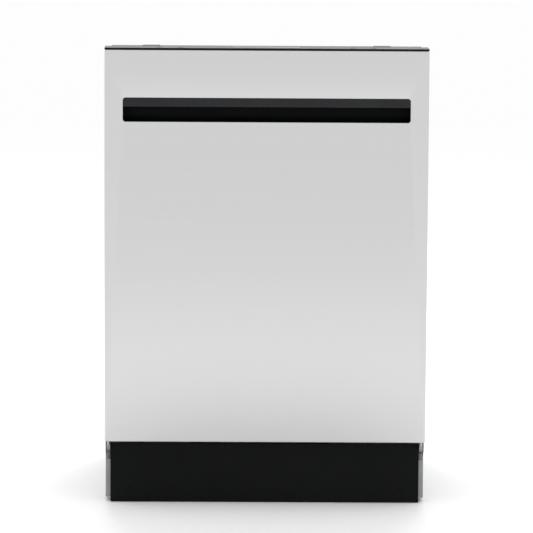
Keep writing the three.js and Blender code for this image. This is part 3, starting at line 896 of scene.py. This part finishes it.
def wire_basket(name, front, floor, wires_across, wires_along, half, back):
    """The woven part of a rack: front is where the sloping front meets the floor."""
    node = f"{name}_rack"
    low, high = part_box(node)
    front_top = low.y + 3 * MM
    back -= 3 * MM
    top = high.z - RIM_R
    runs = []
    for i in range(wires_across + 1):
        x = -half + 2 * half * i / wires_across
        points = [(x, front_top, top), (x, front, floor), (x, back, floor), (x, back, top)]
        runs.append(bent(points, BEND))
    for i in range(wires_along + 1):
        y = front + (back - front) * i / wires_along
        points = [(-half, y, top), (-half, y, floor + 2.6 * MM), (half, y, floor + 2.6 * MM), (half, y, top)]
        runs.append(bent(points, BEND))
    woven = as_mesh(rod(f"{name}_rack_wires", runs, WIRE_R, resolution=2))
    fit(woven, node, rack_coat)
    rim = []
    corners = [(-half, front_top), (half, front_top), (half, back), (-half, back)]
    for index, (x, y) in enumerate(corners):
        before = Vector((*corners[index - 1], top))
        after = Vector((*corners[(index + 1) % 4], top))
        corner = Vector((x, y, top))
        start = corner + (before - corner).normalized() * 20 * MM
        end = corner + (after - corner).normalized() * 20 * MM
        for step in range(7):
            t = step / 6
            rim.append(start * (1 - t) ** 2 + corner * 2 * t * (1 - t) + end * t * t)
    tie = as_mesh(rod(f"{name}_rack_rim", [rim], RIM_R, cyclic=True, resolution=4))
    trim(tie, body_of(node), rack_coat)
    waist_z = floor + (top - floor) * BELT_HEIGHT
    lean = (front_top - front) * BELT_HEIGHT
    waist = [
        (-half, front + lean, waist_z),
        (half, front + lean, waist_z),
        (half, back, waist_z),
        (-half, back, waist_z),
    ]
    belt = as_mesh(rod(f"{name}_rack_belt", [waist], WIRE_R, cyclic=True, resolution=2))
    trim(belt, body_of(node), rack_coat)


def tines(name, node, x_rows, y_span, floor, tall, pitch):
    """Rows of bent tines, each row welded to a wire on the rack's floor."""
    runs = []
    for x in x_rows:
        runs.append([(x, y_span[0], floor + 4 * MM), (x, y_span[1], floor + 4 * MM)])
        count = int((y_span[1] - y_span[0]) / pitch)
        for i in range(count + 1):
            y = y_span[0] + pitch * i
            tip = (x + 9 * MM, y, floor + tall)
            runs.append(bent([(x, y, floor + 3 * MM), (x, y, floor + tall * 0.7), tip], 10 * MM))
    piece = as_mesh(rod(name, runs, 1.5 * MM, resolution=2))
    trim(piece, body_of(node), rack_coat)


low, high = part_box("lower_rack")
wire_basket("lower", -0.19, LOWER_FLOOR, 16, 14, 0.246, high.y)
lower_rows = (-0.2, -0.14, -0.06, 0.0, 0.08)
tines("lower_tines", "lower_rack", lower_rows, (-0.16, 0.21), LOWER_FLOOR, 82 * MM, 26 * MM)
wire_basket("upper", -0.2, UPPER_FLOOR, 16, 14, 0.244, UPPER_BACK)
upper_rows = (-0.19, -0.1, 0.1, 0.19)
tines("upper_tines", "upper_rack", upper_rows, (-0.17, 0.19), UPPER_FLOOR, 62 * MM, 30 * MM)

# ---------------------------------------------------------------------------
# The lower rack's wheels and their carriers
# Grey moulded wheels with a rim, a thin web and a hub. They turn on stub axles
# with a cap each, in moulded carriers along both sides of the rack.
# ---------------------------------------------------------------------------
for row in ("front", "rear"):
    for side, sign in (("left", -1), ("right", 1)):
        node = f"lower_wheel_{row}_{side}"
        low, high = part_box(node)
        middle = (low + high) / 2
        wide = (high.x - low.x) / 2
        outer = (high.z - low.z) / 2
        bore = 4.4 * MM
        cap_x = sign * 0.2625
        tread = [(bore, -wide), (8 * MM, -wide), (8.4 * MM, -wide * 0.35), (outer - 3.4 * MM, -wide * 0.35)]
        tread += [(outer - 3 * MM, -wide), (outer - 0.8 * MM, -wide)]
        tread += [(outer, -wide * 0.8), (outer, wide * 0.8)]
        tread += [(outer - 0.8 * MM, wide), (outer - 3 * MM, wide), (outer - 3.4 * MM, wide * 0.35)]
        tread += [(8.4 * MM, wide * 0.35), (8 * MM, wide), (bore, wide), (bore, -wide)]
        shape = bmesh.new()
        spun(shape, tread, middle, "X", 56)
        bmesh.ops.remove_doubles(shape, verts=shape.verts, dist=1e-6)
        fit(formed(f"rack_wheel_{row}_{side}", shape), node, grey_plastic)
        shape = bmesh.new()
        cap = [(4.2 * MM, 0), (6.4 * MM, 0.2 * MM), (6.4 * MM, 1.4 * MM), (3.6 * MM, 2.6 * MM), (0, 2.8 * MM)]
        spun(shape, [(r, sign * h) for r, h in cap], (cap_x, middle.y, middle.z), "X", 28)
        trim(formed(f"axle_cap_{row}_{side}", shape), "lower_rack", grey_plastic)
for side in ("left", "right"):
    eased(f"wheel_carrier_{side}", grey_plastic, 0.9 * MM, 3)

# ---------------------------------------------------------------------------
# The silverware basket
# Moulded grey plastic with slotted walls in three cells, carried by a loop
# handle on the divider. It lifts out of the lower rack.
# ---------------------------------------------------------------------------
low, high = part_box("silverware_basket")
WALL_TOP = 0.3
SLAT = 2.2 * MM
shape = bmesh.new()
rounded_block(shape, (low.x, low.y, low.z), (high.x, high.y, low.z + 3 * MM))
bands = (low.z + 3 * MM, low.z + 44 * MM, low.z + 84 * MM, WALL_TOP - 7 * MM)
for z in bands:
    rounded_block(shape, (low.x, low.y, z), (low.x + SLAT, high.y, z + 6 * MM))
    rounded_block(shape, (high.x - SLAT, low.y, z), (high.x, high.y, z + 6 * MM))
    rounded_block(shape, (low.x, low.y, z), (high.x, low.y + SLAT, z + 6 * MM))
    rounded_block(shape, (low.x, high.y - SLAT, z), (high.x, high.y, z + 6 * MM))
posts = 27
for i in range(posts):
    y = low.y + (high.y - low.y - SLAT) * i / (posts - 1)
    rounded_block(shape, (low.x, y, low.z), (low.x + SLAT, y + SLAT, WALL_TOP - 1 * MM))
    rounded_block(shape, (high.x - SLAT, y, low.z), (high.x, y + SLAT, WALL_TOP - 1 * MM))
end_posts = 10
for i in range(end_posts):
    x = low.x + (high.x - low.x - SLAT) * i / (end_posts - 1)
    rounded_block(shape, (x, low.y, low.z), (x + SLAT, low.y + SLAT, WALL_TOP - 1 * MM))
    rounded_block(shape, (x, high.y - SLAT, low.z), (x + SLAT, high.y, WALL_TOP - 1 * MM))
for third in (1, 2):
    y = low.y + (high.y - low.y) * third / 3
    rounded_block(shape, (low.x, y - SLAT / 2, low.z), (high.x, y + SLAT / 2, WALL_TOP - 2 * MM))
fit(soften(formed("slotted_basket", shape), 0.5 * MM), "silverware_basket", grey_plastic)
HANDLE_X = 0.178
HANDLE_LOW, HANDLE_TOP = 0.29, 0.3345
handle_line = [(-0.0605, HANDLE_LOW), (-0.045, HANDLE_TOP), (0.005, HANDLE_TOP), (0.0205, HANDLE_LOW)]
loop = bent([(HANDLE_X, y, z) for y, z in handle_line], 16 * MM, 8)
handle = as_mesh(rod("basket_handle", [loop], 3.2 * MM, resolution=5))
trim(handle, "lower_rack", grey_plastic)

# ---------------------------------------------------------------------------
# The spray arms
# Two-part moulded blades on a hub, with a row of jets along the top. The upper
# arm hangs from the upper rack's own feed pipe.
# ---------------------------------------------------------------------------
jet = [(0, 0), (4.4 * MM, 0), (3.8 * MM, 1.4 * MM), (1.6 * MM, 1.6 * MM), (1.4 * MM, 0.8 * MM), (0, 0.8 * MM)]
for level in ("lower", "upper"):
    node = f"{level}_spray_arm"
    eased(node, grey_plastic, 2.2 * MM, 4)
    low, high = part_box(node)
    blade_top = low.z + 12 * MM
    shape = bmesh.new()
    for i in range(5):
        for side in (-1, 1):
            spot = (side * (48 + 36 * i) * MM, HUB_Y + side * (2 + i) * MM, blade_top - 0.4 * MM)
            spun(shape, jet, spot, "Z", 20)
    trim(formed(f"{level}_jets", shape), node, light_plastic)

FEED_BACK = 0.248
feed = bent([(0, FEED_BACK, PORT_Z), (0, HUB_Y + 10 * MM, PORT_Z)], 5 * MM)
feed_pipe = as_mesh(rod("rack_feed_pipe", [feed], 8.6 * MM, resolution=6))
trim(feed_pipe, "upper_rack", light_plastic)
shape = bmesh.new()
boss = [(0, 502.5 * MM), (11 * MM, 502.5 * MM), (11 * MM, 520 * MM), (9 * MM, 522.5 * MM), (0, 523 * MM)]
spun(shape, boss, (0, HUB_Y, 0), "Z", 36)
trim(formed("rack_feed_boss", shape), "upper_rack", light_plastic)

# ---------------------------------------------------------------------------
# The upper rack's rails
# Rolled stainless channels: an outer one screwed to the tub's side, and an
# inner one that runs out of it. The rack's own rollers run in the inner one.
# ---------------------------------------------------------------------------
HANGER_IN, HANGER_OUT = 0.2435, 0.2495
rail_steel = sheet_metal("rail_stainless", (0.5, 0.5, 0.51), (0.6, 0.6, 0.61), (0.22, 0.34), (120, 6, 120))
for side, sign in (("left", -1), ("right", 1)):
    eased(f"rail_bracket_{side}", rail_steel, 0.6 * MM, 3)
    eased(f"upper_rail_{side}", rail_steel, 0.6 * MM, 3)
    low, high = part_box(f"upper_rail_{side}")
    rail_z = (low.z + high.z) / 2
    shape = bmesh.new()
    plate_x = sorted((sign * HANGER_IN, sign * HANGER_OUT))
    rounded_block(shape, (plate_x[0], -0.118, rail_z - 21 * MM), (plate_x[1], 0.148, rail_z + 21 * MM))
    hanger = soften(formed(f"rack_hanger_{side}", shape), 2.4 * MM, 3)
    trim(hanger, "upper_rack", grey_plastic)
    shape = bmesh.new()
    for y in (-0.1, 0.13):
        roller = [(0, 0), (6.4 * MM, 0), (7 * MM, 0.6 * MM), (7 * MM, 4.2 * MM)]
        roller += [(6.4 * MM, 4.8 * MM), (0, 4.8 * MM)]
        spun(shape, [(r, sign * h) for r, h in roller], (sign * HANGER_OUT, y, rail_z), "X", 32)
    trim(formed(f"rack_rollers_{side}", shape), "upper_rack", light_plastic)

# ---------------------------------------------------------------------------
# The door's steel skin
# One sheet of brushed stainless, its grain running straight across. It folds
# back round all four edges, and the handle's opening has a small turned edge.
# ---------------------------------------------------------------------------
door_steel, nodes, links, shader, place = surface("brushed_door_steel", 0.33, 1.0)
hairline = stretched_noise(nodes, links, place, (2.5, 2.5, 1500), 3, 0.6)
bands = stretched_noise(nodes, links, place, (1.2, 1.2, 420), 5, 0.65)
sweep = stretched_noise(nodes, links, place, (1.5, 1.5, 2.5), 2)
both = nodes.new("ShaderNodeMath")
both.operation = "MULTIPLY_ADD"
both.inputs[1].default_value = 0.5
links.new(hairline, both.inputs[0])
half_bands = nodes.new("ShaderNodeMath")
half_bands.operation = "MULTIPLY"
half_bands.inputs[1].default_value = 0.5
links.new(bands, half_bands.inputs[0])
links.new(half_bands.outputs[0], both.inputs[2])
grain = both.outputs[0]
brushed = tinted(nodes, links, ranged(nodes, links, grain, 0, 1), (0.608, 0.61, 0.611), (0.636, 0.637, 0.637))
links.new(brushed, shader.inputs["Base Color"])
rough_sum = nodes.new("ShaderNodeMath")
rough_sum.operation = "ADD"
links.new(ranged(nodes, links, grain, 0.27, 0.33), rough_sum.inputs[0])
links.new(ranged(nodes, links, sweep, 0.0, 0.015), rough_sum.inputs[1])
links.new(rough_sum.outputs[0], shader.inputs["Roughness"])
bumped(nodes, links, shader, grain, 0.012 * MM, 0.2)
shader.inputs["Anisotropic"].default_value = 0.35

SKIN = 0.9 * MM
SKIN_BEND = 2.2 * MM
SKIN_CORNER = 1.2 * MM
HEM = 3.5 * MM
low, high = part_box("door_outer_panel")
POCKET_HALF = 0.2674
POCKET_LOW, POCKET_HIGH = 0.7223, 0.767
POCKET_CORNER = 5 * MM


def rounded_rectangle(half, bottom, top, corner, y, steps=6):
    points = []
    for sign_x, sign_z, start in ((1, 1, 0), (-1, 1, 90), (-1, -1, 180), (1, -1, 270)):
        centre_x = sign_x * (half - corner)
        centre_z = top - corner if sign_z > 0 else bottom + corner
        for i in range(steps + 1):
            swing = radians(start + 90 * i / steps)
            points.append(Vector((centre_x + corner * cos(swing), y, centre_z + corner * sin(swing))))
    return points


def ring_between(shape, first, second):
    for i in range(len(first)):
        j = (i + 1) % len(first)
        shape.faces.new((first[i], first[j], second[j], second[i]))


def loop_of(shape, points):
    return [shape.verts.new(p) for p in points]


shape = bmesh.new()
# Each ring is (inset from the outline, depth behind the face), so the folds are round
fold_rings = []
for i in range(5):
    swing = radians(90 * i / 4)
    fold_rings.append((SKIN_BEND * (1 - sin(swing)), SKIN_BEND * (1 - cos(swing))))
outer_rings = []
for inset, deep in fold_rings:
    round_by = SKIN_CORNER + SKIN_BEND - inset
    points = rounded_rectangle(high.x - inset, low.z + inset, high.z - inset, round_by, low.y + deep)
    outer_rings.append(loop_of(shape, points))
for first, second in zip(outer_rings, outer_rings[1:]):
    ring_between(shape, first, second)
back_ring = loop_of(shape, rounded_rectangle(high.x, low.z, high.z, SKIN_CORNER, high.y))
ring_between(shape, outer_rings[-1], back_ring)
hem_line = rounded_rectangle(high.x - HEM, low.z + HEM, high.z - HEM, SKIN_CORNER, high.y)
hem_ring = loop_of(shape, hem_line)
ring_between(shape, back_ring, hem_ring)
pocket_rings = []
for grow, deep in ((0.9, 0), (0.35, 0.12), (0.0, 0.6), (0.0, 1.15)):
    extra = grow * MM
    bottom, top = POCKET_LOW - extra, POCKET_HIGH + extra
    points = rounded_rectangle(POCKET_HALF + extra, bottom, top, POCKET_CORNER + extra, low.y + deep * MM)
    pocket_rings.append(loop_of(shape, points))
for first, second in zip(pocket_rings, pocket_rings[1:]):
    ring_between(shape, first, second)
# The flat face runs from the outline in to the handle's opening
ring_between(shape, outer_rings[0], pocket_rings[0])
skin = formed("door_steel_skin", shape)
gauge = skin.modifiers.new("sheet_gauge", "SOLIDIFY")
gauge.thickness = SKIN
gauge.offset = -1
gauge.use_even_offset = True
fit(skin, "door_outer_panel", door_steel)

# ---------------------------------------------------------------------------
# The door's inner liner
# Pressed stainless, raised in the middle to reach into the tub, and screwed to
# the skin's folded edge down both sides.
# ---------------------------------------------------------------------------
eased("door_inner_panel", tub_steel, 0.7 * MM, 3)
LINER_SCREW_X = 0.283
LINER_SCREW_Z = (0.16, 0.3, 0.45, 0.6, 0.75)
LINER_RIM_Y = -0.2605
liner_spots = [(sign * LINER_SCREW_X, LINER_RIM_Y, z) for sign in (-1, 1) for z in LINER_SCREW_Z]
screws("liner_screws", liner_spots, (0, 1, 0), 3.2 * MM, "door", zinc)

# ---------------------------------------------------------------------------
# The console
# One glossy black moulding along the top of the door: its front edge shows as
# a thin line above the steel. Keys and a small display sit in its top.
# ---------------------------------------------------------------------------
gloss_black, nodes, links, shader, place = surface("gloss_black_moulding", 0.1)
shader.inputs["Specular IOR Level"].default_value = 0.29
haze = stretched_noise(nodes, links, place, (22, 22, 22), 3)
ripple = stretched_noise(nodes, links, place, (45, 45, 45), 2)
hazy = tinted(nodes, links, ranged(nodes, links, haze, 0, 1), (0.005, 0.0055, 0.007), (0.009, 0.0095, 0.011))
links.new(hazy, shader.inputs["Base Color"])
links.new(ranged(nodes, links, haze, 0.07, 0.14), shader.inputs["Roughness"])
bumped(nodes, links, shader, ripple, 0.02 * MM, 0.12)
console_black = moulded(
    "console_black", (0.0035, 0.0038, 0.0048), (0.0055, 0.006, 0.0072), 0.27, 300, 0.015 * MM
)
console_black.node_tree.nodes["Principled BSDF"].inputs["Specular IOR Level"].default_value = 0.12
eased("console", console_black, 0.7 * MM, 3)

key_black = moulded("key_black", (0.005, 0.0055, 0.007), (0.008, 0.0085, 0.01), 0.25, 300, 0.01 * MM)
key_black.node_tree.nodes["Principled BSDF"].inputs["Specular IOR Level"].default_value = 0.2
console_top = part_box("console")[1].z
for index in range(1, 5):
    node = f"button_{index}"
    low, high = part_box(node)
    middle = (low + high) / 2
    radius = (high.y - low.y) / 2
    tall = high.z - low.z
    cap = [(0, 0), (radius, 0), (radius, tall - 0.5 * MM), (radius - 0.2 * MM, tall - 0.15 * MM)]
    cap += [(radius - 0.6 * MM, tall), (radius * 0.7, tall - 0.1 * MM), (0, tall - 0.35 * MM)]
    shape = bmesh.new()
    spun(shape, cap, (middle.x, middle.y, low.z), "Z", 40)
    fit(formed(f"key_{index}", shape), node, key_black)

smoked, nodes, links, shader, place = surface("smoked_window", 0.05)
smoke = stretched_noise(nodes, links, place, (30, 30, 30), 2)
smoky = tinted(nodes, links, smoke, (0.012, 0.014, 0.018), (0.02, 0.023, 0.03))
links.new(smoky, shader.inputs["Base Color"])
WINDOW_HALF = 0.062
WINDOW_FRONT, WINDOW_BACK = -0.2915, -0.2765
shape = bmesh.new()
window_low = (-WINDOW_HALF, WINDOW_FRONT, console_top - 0.2 * MM)
rounded_block(shape, window_low, (WINDOW_HALF, WINDOW_BACK, console_top + 0.45 * MM))
window = soften(formed("display_window", shape), 0.3 * MM, 3)
trim(window, "door", smoked)

# ---------------------------------------------------------------------------
# The pocket handle
# A black moulded cup behind the opening in the steel. A smooth grip lip hangs
# across its top, and the fingers hook up behind the lip to pull the door.
# ---------------------------------------------------------------------------
cup_black = moulded("handle_cup_black", (0.0028, 0.0036, 0.0045), (0.0045, 0.0055, 0.0066), 0.5)
cup_black.node_tree.nodes["Principled BSDF"].inputs["Specular IOR Level"].default_value = 0.08
low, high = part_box("handle_pocket")
front = low.y
CUP_HALF = 0.2687
CUP_TOP = 0.785
CUP_BACK = -0.273
LIP_BOTTOM = 0.752


def quarter(centre_y, centre_z, radius, start, end, steps=6):
    points = []
    for i in range(steps + 1):
        swing = radians(start + (end - start) * i / steps)
        points.append((centre_y + radius * cos(swing), centre_z + radius * sin(swing)))
    return points


section = [(front, 0.7185)]
section += quarter(CUP_BACK, 0.7245, 6 * MM, -90, 0)
section += quarter(CUP_BACK, 0.779, 6 * MM, 0, 90)
section += [(front, CUP_TOP)]
section += quarter(front + 2.6 * MM, LIP_BOTTOM, 2.6 * MM, 180, 270)
section += quarter(front + 3.4 * MM, LIP_BOTTOM, 2.6 * MM, 270, 360)
section += quarter(front + 9 * MM, 0.777, 3 * MM, 180, 90, 4)
section += quarter(-0.276, 0.774, 6 * MM, 90, 0)
section += quarter(-0.284, 0.7345, 14 * MM, 0, -90)
section += [(front, 0.7207)]
path = []
for i in range(41):
    x = -CUP_HALF + 2 * CUP_HALF * i / 40
    path.append((Vector((x, 0, 0)), Vector((0, 1, 0)), Vector((0, 0, 1))))
cup = fit(moulded_run("grip_cup", section, path), "handle_pocket", gloss_black)
cup.data.materials.append(cup_black)
for face in cup.data.polygons:
    on_lip = face.center.y < front + 12 * MM and face.center.z > LIP_BOTTOM - 2.7 * MM
    face.material_index = 0 if on_lip else 1
for side, sign in (("left", -1), ("right", 1)):
    shape = bmesh.new()
    end_x = sorted((sign * CUP_HALF, sign * (CUP_HALF + 2 * MM)))
    rounded_block(shape, (end_x[0], front + 0.2 * MM, 0.7175), (end_x[1], high.y, CUP_TOP))
    trim(soften(formed(f"cup_end_{side}", shape), 0.8 * MM, 3), "door", gloss_black)

# ---------------------------------------------------------------------------
# The control board and the latch
# A green circuit board with chips and relays lies in the console. The latch's
# moulded housing carries a zinc hook, which catches the strike on the brace.
# ---------------------------------------------------------------------------
board, nodes, links, shader, place = surface("circuit_board", 0.4)
tracks = nodes.new("ShaderNodeTexVoronoi")
tracks.distance = "MANHATTAN"
tracks.inputs["Scale"].default_value = 190
links.new(place, tracks.inputs["Vector"])
copper = ranged(nodes, links, tracks.outputs["Distance"], 0, 1)
links.new(tinted(nodes, links, copper, (0.02, 0.13, 0.05), (0.012, 0.075, 0.03)), shader.inputs["Base Color"])
eased("control_board", board, 0.2 * MM)
low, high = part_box("control_board")
shape = bmesh.new()
for i in range(9):
    x = low.x + (14 + 18 * i) * MM
    y = low.y + (5 + 4 * (i % 3)) * MM
    tall = (4, 11, 6)[i % 3] * MM
    rounded_block(shape, (x, y, high.z), (x + 11 * MM, y + 12 * MM, high.z + tall))
trim(soften(formed("board_parts", shape), 0.5 * MM), "door", key_black)
eased("latch_housing", grey_plastic, 1 * MM, 3)
eased("latch_hook", zinc, 0.5 * MM)

# ---------------------------------------------------------------------------
# The hinge arms
# Thick zinc-plated steel plates, riveted up inside the door, with an eye on the
# base's pivot pin and a tail that the spring pulls.
# ---------------------------------------------------------------------------
RIVET_Y = -0.285
RIVET_Z = (0.15, 0.2, 0.245)
for side, sign in (("left", -1), ("right", 1)):
    eased(f"hinge_arm_{side}", zinc, 0.4 * MM)
    low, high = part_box(f"hinge_arm_{side}")
    inner = low.x if sign > 0 else high.x
    rivets = [(inner, RIVET_Y, z) for z in RIVET_Z]
    screws(f"arm_rivets_{side}", rivets, (-sign, 0, 0), 3 * MM, "door", zinc)

# The arm's folded nose: a curved strip round the front of the pivot. A sloping
# guard on the base carries on below it and closes the slot for the arm's tail.
NOSE_RADIUS = 11.1 * MM
NOSE_SHEET = 0.5 * MM
PIVOT = (-0.281, 0.108)
NOSE_ENDS = (0.2914, 0.2975)
for side, sign in (("left", -1), ("right", 1)):
    nose = []
    outside = (NOSE_RADIUS, range(100, 263, 9))
    inside = (NOSE_RADIUS - NOSE_SHEET, range(262, 99, -9))
    for radius, swings in (outside, inside):
        for swing in swings:
            reach = (cos(radians(swing)), sin(radians(swing)))
            nose.append((PIVOT[0] + radius * reach[0], PIVOT[1] + radius * reach[1]))
    path = [(Vector((sign * x, 0, 0)), Vector((0, 1, 0)), Vector((0, 0, 1))) for x in NOSE_ENDS]
    trim(moulded_run(f"arm_nose_{side}", nose, path), "door", galvanised)
    guard = [(-0.2850, 0.0943), (-0.2695, 0.0795), (-0.2691, 0.0799), (-0.2846, 0.0948)]
    trim(moulded_run(f"pivot_guard_{side}", guard, path), "root", galvanised)

# ---------------------------------------------------------------------------
# The detergent dispenser
# A grey moulding let into the liner: a cup under a sliding light grey lid, and
# a round rinse-aid cap with a finger bar across it.
# ---------------------------------------------------------------------------
eased("dispenser", grey_plastic, 1.2 * MM, 3)
eased("dispenser_lid", light_plastic, 1.1 * MM, 3)
low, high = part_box("dispenser_lid")
RIB_LOW, RIB_HIGH = 0.47, 0.52
shape = bmesh.new()
for i in range(5):
    x = low.x + (12 + 5 * i) * MM
    rounded_block(shape, (x, high.y - 0.4 * MM, RIB_LOW), (x + 2 * MM, high.y + 0.8 * MM, RIB_HIGH))
trim(soften(formed("lid_grip_ribs", shape), 0.4 * MM), "dispenser_lid", light_plastic)
low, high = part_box("rinse_cap")
middle = (low + high) / 2
radius = (high.x - low.x) / 2
deep = high.y - low.y
cap = [(0, 0), (radius, 0), (radius, deep - 1.4 * MM)]
cap += [(radius - 0.4 * MM, deep - 0.4 * MM), (radius - 1.4 * MM, deep)]
cap += [(radius - 4 * MM, deep), (radius - 5 * MM, deep - 1.2 * MM), (0, deep - 1.2 * MM)]
shape = bmesh.new()
spun(shape, cap, (middle.x, low.y, middle.z), "Y", 48)
fit(formed("rinse_aid_cap", shape), "rinse_cap", light_plastic)
shape = bmesh.new()
bar_low = (middle.x - 2 * MM, high.y - 1.4 * MM, middle.z - 10 * MM)
rounded_block(shape, bar_low, (middle.x + 2 * MM, high.y + 1.2 * MM, middle.z + 10 * MM))
trim(soften(formed("cap_finger_bar", shape), 0.8 * MM, 3), "rinse_cap", light_plastic)
